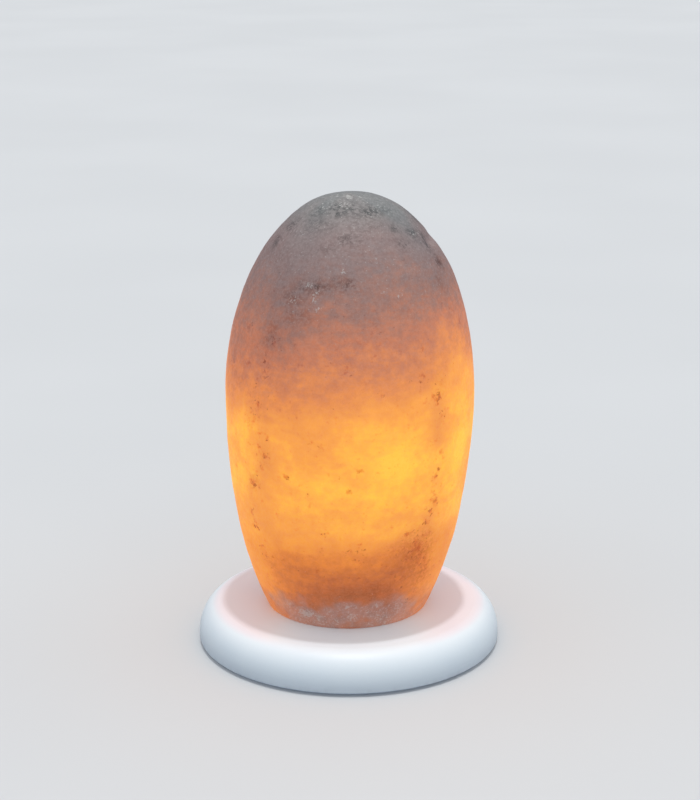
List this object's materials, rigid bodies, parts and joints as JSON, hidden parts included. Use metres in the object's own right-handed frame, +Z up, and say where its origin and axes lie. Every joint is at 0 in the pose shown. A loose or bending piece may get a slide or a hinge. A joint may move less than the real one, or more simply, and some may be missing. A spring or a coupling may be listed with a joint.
{
  "type": "salt crystal lamp",
  "caption": "Egg-shaped salt crystal lamp on a round white base, lit from inside by a bulb in a clip-in holder that pulls out downwards.",
  "frame": {"origin": "middle of the floor surface that the feet stand on, under the base's centre", "axes": "+Z up along the bore for the bulb, +Y towards the back where the cord channel leaves the base, +X to the right seen from the front"},
  "size_m": [0.15, 0.1499, 0.226],
  "materials": {
    "salt": "matte",
    "white_lacquer": "satin",
    "rubber": "matte",
    "nylon": "matte",
    "zinc_steel": "satin",
    "spring_steel": "satin",
    "holder_plastic": "satin",
    "porcelain": "matte",
    "brass": "satin",
    "nickel": "satin",
    "clear_glass": "gloss",
    "black_glass": "gloss",
    "solder": "satin",
    "tungsten": "satin"
  },
  "bodies": {
    "root": {"crystal": "salt", "base": "white_lacquer", "feet": "rubber", "wall_plugs": "nylon", "fixing_screws": "zinc_steel", "fixing_washers": "zinc_steel"},
    "lampholder": {"holder_cap": "holder_plastic", "holder_shell": "holder_plastic", "contact_block": "porcelain", "screw_shell": "brass", "centre_contact": "brass", "terminal_plates": "brass", "terminal_screws": "zinc_steel", "cord_gland": "nylon", "gland_nut": "nylon", "gland_screw": "zinc_steel", "clip_band": "spring_steel", "clip_screw": "zinc_steel", "clip_nut": "zinc_steel"},
    "wing_right": {"clip_wing_right": "spring_steel"},
    "wing_left": {"clip_wing_left": "spring_steel"},
    "bulb_contact": {"bulb_tip": "solder"},
    "bulb": {"bulb_glass": "clear_glass", "bulb_cap": "nickel", "bulb_insulator": "black_glass", "bulb_stem": "clear_glass", "bulb_leads": "nickel", "bulb_filament": "tungsten"}
  },
  "joints": [
    {"name": "holder_pull", "type": "slide", "parent": "root", "child": "lampholder", "axis": [0, 0, -1], "range_m": [0, 0.125]},
    {"name": "wing_squeeze_right", "type": "hinge", "parent": "lampholder", "child": "wing_right", "pos_m": [0.0152, 0, 0.0663], "axis": [0, 1, 0], "range_deg": [0, 8], "stiffness_Nm_per_rad": 0.3},
    {"name": "wing_squeeze_left", "type": "hinge", "parent": "lampholder", "child": "wing_left", "pos_m": [-0.0152, 0, 0.0663], "axis": [0, -1, 0], "range_deg": [0, 8], "stiffness_Nm_per_rad": 0.3},
    {"name": "bulb_lift", "type": "slide", "parent": "lampholder", "child": "bulb_contact", "axis": [0, 0, 1], "range_m": [0, 0.0099]},
    {"name": "bulb_turn", "type": "hinge", "parent": "bulb_contact", "child": "bulb", "pos_m": [0, 0, 0.056], "axis": [0, 0, 1], "range_deg": [0, 1260]}
  ],
  "couplings": [
    {"joint": "wing_squeeze_left", "follows": "wing_squeeze_right", "ratio": 1},
    {"joint": "bulb_lift", "follows": "bulb_turn", "m_per_rad": 0.00044913}
  ]
}
